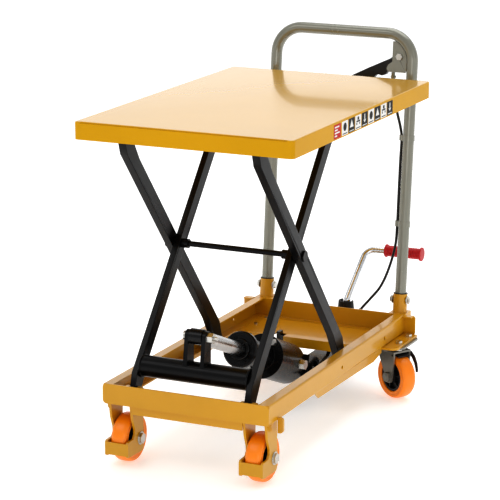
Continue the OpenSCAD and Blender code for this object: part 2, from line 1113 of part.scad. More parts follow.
module release_lever() {
    eye = [for (t = [-128:16:144]) [lever_px + 10 * cos(t), lever_ph + 10 * sin(t)]];
    // squeezed up towards the handle's top bar
    color("black")
        handle_frame()
            slab_y(gusset_y + gusset_t + 0.3, gusset_y + gusset_t + 12)
                difference() {
                    polygon(concat(eye, [[107, 541], [60, 519], [30, 504], [4, 491], [-1, 483],
                                         [3, 476], [10, 474], [17, 477], [22, 484], [28, 486],
                                         [36, 484], [44, 487], [49, 494], [55, 496], [63, 494],
                                         [71, 497], [76, 504], [82, 506], [90, 504], [98, 507],
                                         [103, 514], [112, 520]]));
                    translate([lever_px, lever_ph])
                        circle(4 + run_gap);
                }
}

// lever of the lowering valve, on the pump block
module valve_lever() {
    color("black") {
        slab_x(48.3, 52.3)
            difference() {
                union() {
                    translate([150, 88])
                        circle(7);
                    polygon([[146, 83], [146, 93], [118, 68], [121, 60]]);
                }
                translate([150, 88])
                    circle(3 + run_gap);
            }
    }
}

// ---------- wheels ----------

function crown_pts(w, r, drop, n) = [for (i = [0:n])
    let (t = -1 + 2 * i / n) [r - drop * t * t * t * t, t * w / 2]];

// tyre ring with a slightly crowned tread, its axis along local z
module tyre() {
    color("darkorange")
        rotate_extrude()
            polygon(concat([[hub_r, -wheel_w / 2 + 1.5], [hub_r + 2, -wheel_w / 2]],
                           crown_pts(wheel_w, wheel_r, 4, 12),
                           [[hub_r + 2, wheel_w / 2], [hub_r, wheel_w / 2 - 1.5]]));
}

module hub() {
    w = wheel_w / 2;
    color("black")
        rotate_extrude()
            polygon([[axle_d / 2 + run_gap, -w], [14, -w], [14, -6], [26, -6], [27, -w + 2],
                     [hub_r, -w + 2], [hub_r, w - 2], [27, w - 2], [26, 6], [14, 6], [14, w],
                     [axle_d / 2 + run_gap, w]]);
}

module front_axis() {
    translate([front_x, front_wheel_y, wheel_r])
        rotate([0, 90, 0])
            children();
}

module front_tyre_right() {
    front_axis()
        tyre();
}

module front_tyre_left() {
    mirror([1, 0, 0])
        front_tyre_right();
}

module front_hub_right() {
    front_axis()
        hub();
}

module front_hub_left() {
    mirror([1, 0, 0])
        front_hub_right();
}

// caster frame: origin below the king pin, local x towards the wheel
module caster_frame(side) {
    translate([side * caster_x, caster_y, 0])
        rotate([0, 0, side > 0 ? caster_turn_right : caster_turn_left])
            children();
}

module caster_fork(side) {
    top = 111.5;
    color("gray")
        caster_frame(side) {
            difference() {
                union() {
                    translate([0, 0, 101])
                        cylinder(h = top - 101, r = 27);
                    translate([0, -22.5, 101])
                        cube([38, 45, 4]);
                }
                translate([0, 0, 90])
                    cylinder(h = 30, r = 6.2);
                translate([0, 0, 95])
                    cylinder(h = 6.2, r = 12);
            }
            for (y = [-22.5, 18.5])
                difference() {
                    slab_y(y, y + 4)
                        polygon([[-18, 101], [38, 101], [38, 92], [33, 52], [31, 40],
                                 [24, 35], [16, 35], [9, 40], [6, 54]]);
                    translate([caster_trail, y - 1, wheel_r])
                        rotate([-90, 0, 0])
                            cylinder(h = 6, r = axle_d / 2);
                    translate([33, y - 1, 97.4])
                        rotate([-90, 0, 0])
                            cylinder(h = 6, r = 2.5);
                }
            // axle bolt with its nut
            translate([caster_trail, -30, wheel_r])
                rotate([-90, 0, 0])
                    cylinder(h = 57, r = axle_d / 2);
            translate([caster_trail, -29.5, wheel_r])
                rotate([-90, 0, 0])
                    cylinder(h = 7, d = 22, $fn = 6);
            translate([caster_trail, 22.5, wheel_r])
                rotate([-90, 0, 0])
                    cylinder(h = 6, d = 22, $fn = 6);
        }
}

module caster_fork_right() {
    caster_fork(1);
}

module caster_fork_left() {
    caster_fork(-1);
}

module caster_wheel(side) {
    caster_frame(side)
        translate([caster_trail, 0, wheel_r])
            rotate([-90, 0, 0])
                children();
}

module caster_tyre_right() {
    caster_wheel(1)
        tyre();
}

module caster_tyre_left() {
    caster_wheel(-1)
        tyre();
}

module caster_hub_right() {
    caster_wheel(1)
        hub();
}

module caster_hub_left() {
    caster_wheel(-1)
        hub();
}

// brake lever beside the fork, with its shaft through the fork and the cam over the tyre
module brake_pedal(side) {
    color("black")
        caster_frame(side) {
            translate([33, -22, 97.4])
                rotate([-90, 0, 0])
                    cylinder(h = 46, r = 2.45);
            slab_y(-14, 14)
                polygon([[30, 99.5], [36.5, 99.5], [44, 96], [43, 92.6], [36, 96.6],
                         [31, 96.4]]);
            slab_y(22.9, 25.2)
                polygon([[28.5, 101.5], [37.5, 101.5], [50, 93], [58, 80], [61, 66],
                         [60.5, 60], [56, 60], [54.5, 67], [50, 78], [42, 88], [34, 92.5],
                         [28.5, 93]]);
        }
}

module brake_pedal_right() {
    brake_pedal(1);
}

module brake_pedal_left() {
    brake_pedal(-1);
}

// ---------- parts ----------

place() rail_left();
place() rail_right();
place() front_plate();
place() front_cross_strip();
place() rear_tray();
place() caster_brackets();
place() caster_plates();
place() caster_bolts();
place() front_fork_left();
place() front_fork_right();
place() front_axles();
place() pivot_lugs();
place() base_pins();
place() handle_sockets();
place() handle_bolts();
place() handle_tube();
place() handle_gusset();
place() cable_clips();
place() release_cable();
place() pump_bracket();
place() inner_arm_left();
place() inner_arm_right();
place() arm_cross_tube();
place() ear_pin();
place() centre_pins();
place() table_roller_pins();
place() outer_arm_left();
place() outer_arm_right();
place() base_roller_pins();
place() table_roller_left();
place() table_roller_right();
place() base_roller_left();
place() base_roller_right();
place() platform();
place() table_channels();
place() table_pivots();
place() piston_rod();
place() cylinder_barrel();
place() gland_disc();
place() oil_tank();
place() pump_block();
place() pump_fittings();
place() pump_boot();
place() pump_plunger();
place() pedal_tube();
place() pedal_grip();
place() release_lever();
place() valve_lever();
place() front_tyre_left();
place() front_tyre_right();
place() front_hub_left();
place() front_hub_right();
place() caster_fork_left();
place() caster_fork_right();
place() caster_tyre_left();
place() caster_tyre_right();
place() caster_hub_left();
place() caster_hub_right();
place() brake_pedal_left();
place() brake_pedal_right();
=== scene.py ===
"""Looks of the scissor lift table truck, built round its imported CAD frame."""
import json
import math
import random

import bmesh
import bpy
from mathutils import Matrix, Vector


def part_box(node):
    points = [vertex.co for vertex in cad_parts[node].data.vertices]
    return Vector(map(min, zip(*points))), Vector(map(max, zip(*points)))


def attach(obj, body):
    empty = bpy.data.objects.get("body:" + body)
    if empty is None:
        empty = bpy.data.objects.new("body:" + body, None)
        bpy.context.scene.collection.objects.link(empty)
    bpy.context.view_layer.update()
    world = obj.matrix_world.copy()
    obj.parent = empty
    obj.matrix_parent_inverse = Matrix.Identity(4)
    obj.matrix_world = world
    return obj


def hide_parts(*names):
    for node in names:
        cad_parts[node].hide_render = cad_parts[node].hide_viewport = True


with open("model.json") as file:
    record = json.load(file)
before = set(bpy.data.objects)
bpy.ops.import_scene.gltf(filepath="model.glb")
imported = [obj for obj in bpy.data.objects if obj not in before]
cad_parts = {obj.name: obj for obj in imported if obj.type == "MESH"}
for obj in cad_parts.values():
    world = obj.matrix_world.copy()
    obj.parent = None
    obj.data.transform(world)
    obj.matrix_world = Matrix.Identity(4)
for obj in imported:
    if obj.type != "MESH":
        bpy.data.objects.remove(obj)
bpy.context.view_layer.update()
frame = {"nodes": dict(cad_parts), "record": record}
nodes = frame["nodes"]
random.seed(7)

# layout millimetres of the frame's origin
X_MID = 2.6
Y_MID = 60.5

# pump and cylinder: rear pin, slope of the axis in degrees, distance from that pin to the ears
PUMP_Y = 170
PUMP_Z = 80
CYL_SLOPE = 21.8
CYL_LEN = 490

# handle: backward lean in degrees and the foot of its tubes
HANDLE_LEAN = 5.5
HANDLE_Y = 375
HANDLE_Z = 160

# wheels, in layout millimetres: half track and place along the truck, height of the axles,
# trail of the casters and the way each one points
FRONT_X, FRONT_Y = 142, -300
CASTER_X, CASTER_Y = 165, 305
AXLE_Z = 48
CASTER_TRAIL = 20
CASTER_TURN = {"left": -65, "right": -31}

SHARP = math.radians(38)  # edges sharper than this are bevelled
X_AXIS = Vector((1, 0, 0))


def P(x, y, z):
    """Layout millimetres to the frame's metres."""
    return Vector(((x - X_MID) / 1000, (y - Y_MID) / 1000, z / 1000))


# ---------- camera, light and floor ----------

def make_camera():
    cam = bpy.data.cameras.new("camera")
    cam.sensor_width = 36
    cam.lens = 164.13
    cam.clip_end = 60
    obj = bpy.data.objects.new("camera", cam)
    bpy.context.scene.collection.objects.link(obj)
    right = Vector((0.90764, 0.41976, 0)).normalized()
    back = Vector((0.40740, -0.88091, 0.24091)).normalized()
    up = back.cross(right).normalized()
    m = Matrix((right, up, back)).transposed().to_4x4()
    m.translation = P(1836.0, -4018.7, 1464.1)
    obj.matrix_world = m
    bpy.context.scene.camera = obj
    view = bpy.context.scene.view_settings
    view.view_transform = "Standard"
    view.look = "High Contrast"
    view.exposure = -0.32


def area_light(name, at, aim, size, power):
    light = bpy.data.lights.new(name, "AREA")
    light.shape = "RECTANGLE"
    light.size = size[0]
    light.size_y = size[1]
    light.energy = power
    obj = bpy.data.objects.new(name, light)
    obj.location = at
    obj.rotation_euler = (Vector(aim) - Vector(at)).to_track_quat("-Z", "Y").to_euler()
    bpy.context.scene.collection.objects.link(obj)


def make_studio():
    world = bpy.data.worlds.new("studio")
    bpy.context.scene.world = world
    world.use_nodes = True
    nt = world.node_tree
    bg = nt.nodes["Background"]
    tc = nt.nodes.new("ShaderNodeTexCoord")
    dot = nt.nodes.new("ShaderNodeVectorMath")
    dot.operation = "DOT_PRODUCT"
    dot.inputs[1].default_value = (-0.21, 0.454, 0)
    nt.links.new(tc.outputs["Generated"], dot.inputs[0])
    half = math_node(nt, "ADD", dot.outputs["Value"], 0.5)
    # white behind the object, a softer grey wall on the other side
    wall = ramp(nt, half, [(0.0, grey(0.52)), (0.42, grey(0.58)), (0.82, grey(0.58)),
                           (0.94, grey(1.0))])
    # and white all round the horizon
    split = nt.nodes.new("ShaderNodeSeparateXYZ")
    nt.links.new(tc.outputs["Generated"], split.inputs[0])
    low = ramp(nt, split.outputs["Z"], [(0.05, grey(1.0)), (0.14, grey(0.0))])
    wall = mix_color(nt, low, wall, (1.0, 1.0, 1.0))
    nt.links.new(wall, bg.inputs[0])
    bg.inputs[1].default_value = 1.06
    area_light("key", (-1.9, -2.4, 3.2), (0, 0, 0.3), (2.2, 1.4), 14)
    area_light("low", (1.1, -3.0, 0.8), (0, 0.3, 0.15), (1.4, 0.9), 6)
    area_light("fill", (3.2, -1.2, 1.6), (0, 0, 0.4), (1.6, 1.6), 4)
    area_light("top", (0.2, 0.9, 3.4), (0, 0, 0.4), (2.8, 2.8), 40)


def make_floor():
    bm = bmesh.new()
    bmesh.ops.create_grid(bm, x_segments=4, y_segments=4, size=24)
    me = bpy.data.meshes.new("floor")
    bm.to_mesh(me)
    bm.free()
    floor = bpy.data.objects.new("floor", me)
    bpy.context.scene.collection.objects.link(floor)
    mat, _, bsdf = new_material("floor_plain", grey(0.93), 0.6)
    bsdf.inputs["Specular IOR Level"].default_value = 0.1
    bsdf.inputs["Emission Color"].default_value = (1, 1, 1, 1)
    bsdf.inputs["Emission Strength"].default_value = 0.36
    me.materials.append(mat)


# ---------- materials ----------

def new_material(name, color, rough, metallic=0.0):
    mat = bpy.data.materials.new(name)
    mat.use_nodes = True
    nt = mat.node_tree
    bsdf = nt.nodes["Principled BSDF"]
    bsdf.inputs["Base Color"].default_value = (*color, 1)
    bsdf.inputs["Roughness"].default_value = rough
    bsdf.inputs["Metallic"].default_value = metallic
    return mat, nt, bsdf


def coords(nt):
    return nt.nodes.new("ShaderNodeTexCoord").outputs["Object"]


def noise(nt, vec, scale, detail=4.0, rough=0.55):
    n = nt.nodes.new("ShaderNodeTexNoise")
    n.inputs["Scale"].default_value = scale
    n.inputs["Detail"].default_value = detail
    n.inputs["Roughness"].default_value = rough
    nt.links.new(vec, n.inputs["Vector"])
    return n.outputs["Fac"]


def ramp(nt, fac, stops):
    r = nt.nodes.new("ShaderNodeValToRGB")
    els = r.color_ramp.elements
    while len(els) < len(stops):
        els.new(0.5)
    for el, (pos, col) in zip(els, stops):
        el.position = pos
        el.color = (*col, 1)
    nt.links.new(fac, r.inputs[0])
    return r.outputs["Color"]


def grey(v):
    return (v, v, v)


def math_node(nt, op, a, b):
    n = nt.nodes.new("ShaderNodeMath")
    n.operation = op
    for i, v in enumerate((a, b)):
        if isinstance(v, (int, float)):
            n.inputs[i].default_value = v
        else:
            nt.links.new(v, n.inputs[i])
    return n.outputs[0]


def bump(nt, bsdf, height, strength, distance):
    b = nt.nodes.new("ShaderNodeBump")
    b.inputs["Strength"].default_value = strength
    b.inputs["Distance"].default_value = distance
    nt.links.new(height, b.inputs["Height"])
    nt.links.new(b.outputs[0], bsdf.inputs["Normal"])


def mix_color(nt, fac, a, b):
    m = nt.nodes.new("ShaderNodeMix")
    m.data_type = "RGBA"
    nt.links.new(fac, m.inputs[0])
    for sock, v in ((m.inputs[6], a), (m.inputs[7], b)):
        if isinstance(v, tuple):
            sock.default_value = (*v, 1)
        else:
            nt.links.new(v, sock)
    return m.outputs[2]


def shade(color, k):
    return tuple(min(1.0, c * k) for c in color)


def paint(name, color, rough, coat, peel, spread, metallic=0.0, dust=0.25, spec=0.5,
          patch=0.2):
    """Enamel: faint tone drift, orange peel, fine specks of dust, smoother and duller patches."""
    mat, nt, bsdf = new_material(name, color, rough, metallic)
    vec = coords(nt)
    drift = noise(nt, vec, 5.0, 5.0)
    tone = ramp(nt, drift, [(0.30, shade(color, 1 - spread)), (0.70, shade(color, 1 + spread))])
    specks = noise(nt, vec, 900.0, 2.0)
    mask = ramp(nt, specks, [(0.70, grey(0)), (0.80, grey(dust))])
    tone = mix_color(nt, mask, tone, shade(color, 0.72))
    nt.links.new(tone, bsdf.inputs["Base Color"])
    dull = noise(nt, vec, 22.0, 6.0, 0.65)
    r = ramp(nt, dull, [(0.25, grey(rough * (1 - patch))), (0.75, grey(rough * (1 + patch)))])
    nt.links.new(r, bsdf.inputs["Roughness"])
    bsdf.inputs["Specular IOR Level"].default_value = spec
    bsdf.inputs["Coat Weight"].default_value = coat
    bsdf.inputs["Coat Roughness"].default_value = 0.06
    wave = noise(nt, vec, 260.0, 2.0)
    bump(nt, bsdf, wave, peel, 0.0006)
    return mat


def painted_sheen_by_facing(mat, coat, side_coat, spec, side_spec):
    """Painted sheen: coat and specular set by which way a face looks, more on faces that look up
    and less on upright ones, so upright sides reflect less of the bright surroundings.
    """
    nt = mat.node_tree
    bsdf = nt.nodes["Principled BSDF"]
    split = nt.nodes.new("ShaderNodeSeparateXYZ")
    nt.links.new(nt.nodes.new("ShaderNodeTexCoord").outputs["Normal"], split.inputs[0])
    up = split.outputs["Z"]
    nt.links.new(ramp(nt, up, [(0.2, grey(side_coat)), (0.9, grey(coat))]),
                 bsdf.inputs["Coat Weight"])
    nt.links.new(ramp(nt, up, [(0.2, grey(side_spec)), (0.9, grey(spec))]),
                 bsdf.inputs["Specular IOR Level"])


def steel(name, color, rough, grain=0.08):
    """Bare metal: fine grain, cloudy tone and roughness."""
    mat, nt, bsdf = new_material(name, color, rough, 1.0)
    vec = coords(nt)
    lines = noise(nt, vec, 420.0, 3.0, 0.7)
    cloud = noise(nt, vec, 30.0, 4.0)
    nt.links.new(ramp(nt, cloud, [(0.3, shade(color, 0.85)), (0.7, shade(color, 1.1))]),
                 bsdf.inputs["Base Color"])
    mixed = math_node(nt, "MULTIPLY", lines, cloud)
    nt.links.new(ramp(nt, mixed, [(0.1, grey(rough * 0.7)), (0.5, grey(rough * 1.4))]),
                 bsdf.inputs["Roughness"])
    bump(nt, bsdf, lines, grain, 0.0002)
    return mat


def plastic(name, color, rough, grain=0.12, scale=700.0, spread=0.12):
    """Moulded plastic or rubber: soft tone drift, fine grain, uneven sheen."""
    mat, nt, bsdf = new_material(name, color, rough)
    vec = coords(nt)
    cloud = noise(nt, vec, 12.0, 5.0)
    tone = ramp(nt, cloud, [(0.3, shade(color, 1 - spread)), (0.7, shade(color, 1 + spread))])
    nt.links.new(tone, bsdf.inputs["Base Color"])
    sheen = noise(nt, vec, 60.0, 4.0)
    r = ramp(nt, sheen, [(0.3, grey(rough * 0.85)), (0.7, grey(rough * 1.15))])
    nt.links.new(r, bsdf.inputs["Roughness"])
    bump(nt, bsdf, noise(nt, vec, scale, 3.0), grain, 0.0004)
    return mat


# colour, roughness, coat, orange peel, tone drift
PAINTS = {
    "deck_paint": ((0.63, 0.342, 0.010), 0.20, 0.50, 0.010, 0.03),
    "frame_paint": ((0.60, 0.312, 0.012), 0.30, 0.45, 0.035, 0.06),
    "arm_paint": ((0.005, 0.005, 0.0055), 0.32, 0.08, 0.08, 0.25),
    "pump_black": ((0.006, 0.006, 0.0065), 0.26, 0.15, 0.10, 0.3),
    "handle_paint": ((0.25, 0.25, 0.208), 0.24, 0.75, 0.05, 0.06),
    "caster_metal": ((0.24, 0.235, 0.21), 0.36, 0.15, 0.10, 0.12),
}
PAINT_EXTRAS = {
    "deck_paint": {"dust": 0.08, "spec": 0.4, "patch": 0.04},
    "frame_paint": {"dust": 0.15, "patch": 0.12},
    "arm_paint": {"dust": 0.0, "spec": 0.25},
    "pump_black": {"dust": 0.0, "spec": 0.3},
    "handle_paint": {"metallic": 0.35},
    "caster_metal": {"metallic": 0.5},
}
# colour, roughness, and grain where it isn't the usual one
STEELS = {
    "zinc": ((0.60, 0.59, 0.56), 0.30),
    "chrome_rod": ((0.52, 0.52, 0.52), 0.24, 0.02),
    "pedal_chrome": ((0.74, 0.76, 0.78), 0.22, 0.03),
}
# colour, roughness, then grain, its scale and tone drift where they aren't the usual ones
PLASTICS = {
    "grip_red": ((0.50, 0.009, 0.014), 0.42),
    "lever_black": ((0.012, 0.012, 0.012), 0.38),
    "boot_rubber": ((0.013, 0.013, 0.013), 0.55, 0.2, 500.0),
    "cable_black": ((0.012, 0.012, 0.012), 0.40, 0.08),
    "tyre_orange": ((0.97, 0.275, 0.004), 0.36, 0.06, 420.0, 0.04),
    "hub_black": ((0.014, 0.014, 0.014), 0.42, 0.15),
    "vinyl_white": ((0.78, 0.78, 0.76), 0.30, 0.03, 400, 0.02),
    "vinyl_black": ((0.006, 0.006, 0.006), 0.30, 0.03, 400, 0.1),
    "vinyl_red": ((0.50, 0.012, 0.012), 0.30, 0.03, 400, 0.04),
}
M = {}


def principled(key):
    return M[key].node_tree.nodes["Principled BSDF"]


def make_materials():
    for key, values in PAINTS.items():
        M[key] = paint(key, *values, **PAINT_EXTRAS[key])
    # painted sheen: faces of the deck and base frame that look up get more coat and specular than
    # their upright sides
    painted_sheen_by_facing(M["deck_paint"], 0.50, 0.05, 0.4, 0.10)
    painted_sheen_by_facing(M["frame_paint"], 0.45, 0.30, 0.5, 0.4)
    for key, values in STEELS.items():
        M[key] = steel(key, *values)
    for key, values in PLASTICS.items():
        M[key] = plastic(key, *values)
    principled("tyre_orange").inputs["Coat Weight"].default_value = 0.25
    for key in ("vinyl_white", "vinyl_black", "vinyl_red"):
        principled(key).inputs["Specular IOR Level"].default_value = 0.12


def slot_of(node):
    for part in frame["record"]["subparts"]:
        if part["node"] == node:
            return part["material_slot"]
    raise KeyError(node)


def add_bevel(obj, width):
    bev = obj.modifiers.new("bevel", "BEVEL")
    bev.width = width
    bev.segments = 2
    bev.limit_method = "ANGLE"
    bev.angle_limit = SHARP
    return bev


def add_weighted_normals(obj):
    wn = obj.modifiers.new("normals", "WEIGHTED_NORMAL")
    wn.keep_sharp = False
    wn.weight = 60


def dress_nodes():
    """Material, small bevels and even shading for the CAD nodes that stay in view."""
    bevels = {"deck_paint": 0.0006, "frame_paint": 0.0006, "arm_paint": 0.0009}
    for name, obj in nodes.items():
        slot = slot_of(name)
        # the clips look painted with the handle
        look = M["handle_paint" if name == "cable_clips" else slot]
        me = obj.data
        if not me.materials:
            me.materials.append(look)
        for i in range(len(me.materials)):
            me.materials[i] = look
        if "custom_normal" in me.attributes:
            me.attributes.remove(me.attributes["custom_normal"])
        me.polygons.foreach_set("use_smooth", [True] * len(me.polygons))
        merge = obj.modifiers.new("weld", "WELD")
        merge.merge_threshold = 0.00001
        add_bevel(obj, bevels.get(slot, 0.0004)).use_clamp_overlap = True
        add_weighted_normals(obj)


# ---------- mesh helpers ----------

def V(*a):
    return Vector(a)


def place_mesh(name, bm, mat, body, bevel=0.0, replaces=()):
    """Piece made from bm that rides a body."""
    bmesh.ops.remove_doubles(bm, verts=bm.verts, dist=0.000004)
    bmesh.ops.recalc_face_normals(bm, faces=bm.faces)
    me = bpy.data.meshes.new(name)
    bm.to_mesh(me)
    bm.free()
    me.polygons.foreach_set("use_smooth", [True] * len(me.polygons))
    me.materials.append(M[mat])
    obj = bpy.data.objects.new(name, me)
    bpy.context.scene.collection.objects.link(obj)
    if bevel:
        add_bevel(obj, bevel)
    add_weighted_normals(obj)
    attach(obj, body)
    if replaces:
        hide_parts(*replaces)
    return obj


def rounded(points, radius, steps=3):
    """Corners of a closed outline turned into short curves."""
    out = []
    n = len(points)
    for i in range(n):
        p = Vector(points[i])
        a = Vector(points[i - 1]) - p
        b = Vector(points[(i + 1) % n]) - p
        cut = min(radius, a.length * 0.45, b.length * 0.45)
        a.normalize()
        b.normalize()
        if a.dot(b) < -0.985:
            out.append(tuple(p))
            continue
        for k in range(steps + 1):
            f = k / steps
            q = (1 - f) ** 2 * (p + a * cut) + 2 * f * (1 - f) * p + f * f * (p + b * cut)
            out.append(tuple(q))
    return out


def lathe(bm, outline, centre, axis, steps=80):
    """Closed (radius, along) outline in millimetres, turned about an axis."""
    axis = axis.normalized()
    u = axis.orthogonal().normalized()
    v = axis.cross(u)
    rings = []
    for k in range(steps):
        a = math.tau * k / steps
        d = u * math.cos(a) + v * math.sin(a)
        rings.append([bm.verts.new(centre + axis * (t / 1000) + d * (r / 1000))
                      for r, t in outline])
    n = len(outline)
    for k in range(steps):
        a, b = rings[k], rings[(k + 1) % steps]
        for i in range(n):
            j = (i + 1) % n
            bm.faces.new((a[i], b[i], b[j], a[j]))


def sweep(bm, line, radius, sides=20):
    """Tube of round section along a line; radius is a number or one for each point."""
    n = len(line)
    rs = radius if isinstance(radius, list) else [radius] * n
    heads = [(line[min(i + 1, n - 1)] - line[max(i - 1, 0)]).normalized() for i in range(n)]
    u = heads[0].orthogonal().normalized()
    rings = []
    for i in range(n):
        u = (u - heads[i] * u.dot(heads[i])).normalized()
        v = heads[i].cross(u)
        rings.append([bm.verts.new(line[i] + rs[i] * (u * math.cos(math.tau * k / sides)
                                                      + v * math.sin(math.tau * k / sides)))
                      for k in range(sides)])
    for i in range(n - 1):
        for k in range(sides):
            m = (k + 1) % sides
            bm.faces.new((rings[i][k], rings[i][m], rings[i + 1][m], rings[i + 1][k]))
    bm.faces.new(rings[0][::-1])
    bm.faces.new(rings[-1])


def bent(points, radius, steps=8):
    """Line through the points, with an arc of that radius at each bend, all in metres."""
    out = [points[0]]
    for i in range(1, len(points) - 1):
        p = points[i]
        a = (points[i - 1] - p).normalized()
        b = (points[i + 1] - p).normalized()
        half = a.angle(b) / 2
        limit = 0.45 * min((points[i - 1] - p).length, (points[i + 1] - p).length)
        cut = min(radius / math.tan(half), limit)
        r = cut * math.tan(half)
        mid = p + (a + b).normalized() * (r / math.sin(half))
        s = p + a * cut - mid
        e = p + b * cut - mid
        turn = s.angle(e)
        for k in range(steps + 1):
            f = k / steps
            out.append(mid + (s * math.sin((1 - f) * turn) + e * math.sin(f * turn))
                       / math.sin(turn))
    out.append(points[-1])
    return out


def spaced(line, gap):
    """The same line with points about gap apart."""
    out = [line[0]]
    for a, b in zip(line, line[1:]):
        n = max(1, round((b - a).length / gap))
        out += [a.lerp(b, k / n) for k in range(1, n + 1)]
    return out


# ---------- wheels ----------

def tyre_outline(w):
    crown = []
    for i in range(25):
        t = -1 + i / 12
        ridge = 0.15 if abs(t) < 0.05 else 0.0
        crown.append((47.83 - 4 * t ** 4 + ridge, t * w * 0.995))
    side = [(41.5, w), (39.6, w), (39.1, w - 0.7), (36.6, w - 0.7), (36.1, w), (33.6, w),
            (32.0, w - 1.5)]
    low = [(r, -t) for r, t in side[::-1]]
    return low + crown + side


def hub_outline(w):
    return rounded([(6.1, -w), (14, -w), (14, -6), (26, -6), (27, -w + 2), (32, -w + 2),
                    (32, w - 2), (27, w - 2), (26, 6), (14, 6), (14, w), (6.1, w)], 1.0)


def wheel(side, name, body, centre, axis, width):
    """Tyre and ribbed hub; the CAD's own ones are hidden."""
    w = width / 2
    bm = bmesh.new()
    lathe(bm, tyre_outline(w), centre, axis, 112)
    place_mesh(f"{name}_tread_{side}", bm, "tyre_orange", body,
               replaces=[f"{name}_tyre_{side}"])
    bm = bmesh.new()
    lathe(bm, hub_outline(w), centre, axis, 80)
    u = axis.orthogonal().normalized()
    v = axis.cross(u).normalized()
    for k in range(6):
        a = math.tau * (k + 0.5) / 6
        out = u * math.cos(a) + v * math.sin(a)
        across = axis.cross(out).normalized()
        for s in (-1, 1):
            corners = []
            for r, t in ((13.5, 5), (27, 5), (27, w - 4.2), (13.5, w - 3.0)):
                for c in (-1.4, 1.4):
                    corners.append(bm.verts.new(centre + (out * r + axis * (s * t)
                                                          + across * c) / 1000))
            a0, a1, b0, b1, c0, c1, d0, d1 = corners
            for f in ((a0, b0, c0, d0), (a1, d1, c1, b1), (a0, a1, b1, b0), (b0, b1, c1, c0),
                      (c0, c1, d1, d0), (d0, d1, a1, a0)):
                bm.faces.new(f)
    place_mesh(f"{name}_centre_{side}", bm, "hub_black", body, 0.0003,
               replaces=[f"{name}_hub_{side}"])


def make_wheels():
    lo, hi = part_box("front_tyre_right")
    width = (hi[0] - lo[0]) * 1000
    for side, q in (("left", -1), ("right", 1)):
        letter = side[0]
        wheel(side, "front", f"front_wheel_{letter}", P(q * FRONT_X, FRONT_Y, AXLE_Z),
              V(q, 0, 0), width)
        t = math.radians(CASTER_TURN[side])
        head = V(math.cos(t), math.sin(t), 0)
        centre = P(q * CASTER_X + CASTER_TRAIL * head.x, CASTER_Y + CASTER_TRAIL * head.y, AXLE_Z)
        wheel(side, "caster", f"caster_wheel_{letter}", centre, V(-head.y, head.x, 0), width)


# ---------- release cable ----------

CABLE = [(117, 417, 655), (120, 418, 620), (127, 418, 585), (136, 415, 555), (140.5, 411, 532),
         (140.5, 406, 490), (140.5, 401, 440), (140.5, 397, 395), (140.5, 393, 352),
         (136, 395, 302), (120, 399, 248), (103, 396, 208), (82, 391, 180), (66, 385, 160),
         (57, 379, 146)]


def spline_line(points, steps):
    """Smooth line through layout points."""
    pts = [P(*p) for p in points]
    out = []
    last = len(pts) - 1
    for i in range(last):
        a, b, c, d = pts[max(i - 1, 0)], pts[i], pts[i + 1], pts[min(i + 2, last)]
        for k in range(steps):
            t = k / steps
            out.append(0.5 * ((2 * b) + (c - a) * t + (2 * a - 5 * b + 4 * c - d) * t * t
                              + (3 * b - a - 3 * c + d) * t ** 3))
    out.append(pts[-1])
    return out


def make_cable():
    line = spline_line(CABLE, 10)
    bm = bmesh.new()
    sweep(bm, line, 0.0028, 20)
    obj = place_mesh("cable_sleeve", bm, "cable_black", "base",
                     replaces=["release_cable"])
    # crimped ferrules at both ends of the sleeve
    for k, (a, b) in enumerate(((line[0], line[1]), (line[-1], line[-2]))):
        bm = bmesh.new()
        axis = (b - a).normalized()
        lathe(bm, rounded([(2.85, 0), (4.0, 0), (4.0, 5), (3.7, 5.6), (3.7, 7), (4.0, 7.6),
                           (4.0, 12), (3.4, 14), (2.85, 14)], 0.3), a, axis, 40)
        place_mesh(f"cable_ferrule_{k}", bm, "zinc", "base")


# ---------- pedal ----------

def make_pedal():
    """Bent bar that narrows to its eye, with a ribbed sleeve; both replace the CAD's ones."""
    pts = [P(25, 388, 150), P(28, 391, 172), P(45, 450, 262), P(58, 458, 271), P(172, 460, 273)]
    line = spaced(bent(pts, 0.022, 10), 0.006)
    rs = []
    for p in line:
        f = max(0.0, min(1.0, ((p - line[0]).length - 0.010) / 0.014))
        rs.append(0.006 + 0.0015 * f * f * (3 - 2 * f))
    bm = bmesh.new()
    sweep(bm, line[1:], rs[1:], 28)
    lathe(bm, rounded([(3.06, -8), (7, -8), (7, 8), (3.06, 8)], 0.7), pts[0], X_AXIS, 48)
    place_mesh("pedal_bar", bm, "pedal_chrome", "pedal", replaces=["pedal_tube"])
    lo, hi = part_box("pedal_grip")
    x0 = lo[0] * 1000 + X_MID
    x1 = hi[0] * 1000 + X_MID
    top = (hi[2] - lo[2]) * 500
    r = top - 3
    bore = 7.4
    outer = [(bore, x0), (top - 1.6, x0), (top - 0.8, x0 + 0.8), (top - 0.8, x0 + 3.0),
             (top - 1.6, x0 + 3.9), (r, x0 + 4.4)]
    x = x0 + 8
    while x < x1 - 11:
        outer += [(r, x), (r - 0.9, x + 0.8), (r - 0.9, x + 2.0), (r, x + 2.8)]
        x += 5.6
    outer += [(r, x1 - 5), (top - 0.8, x1 - 4.2), (top, x1 - 3.4), (top, x1 - 0.8),
              (top - 0.8, x1), (0.2, x1), (0.2, x1 - 3), (bore, x1 - 3)]
    bm = bmesh.new()
    lathe(bm, outer, P(0, 459, 272.2), X_AXIS, 64)
    place_mesh("pedal_sleeve", bm, "grip_red", "pedal", replaces=["pedal_grip"])


# ---------- welds ----------

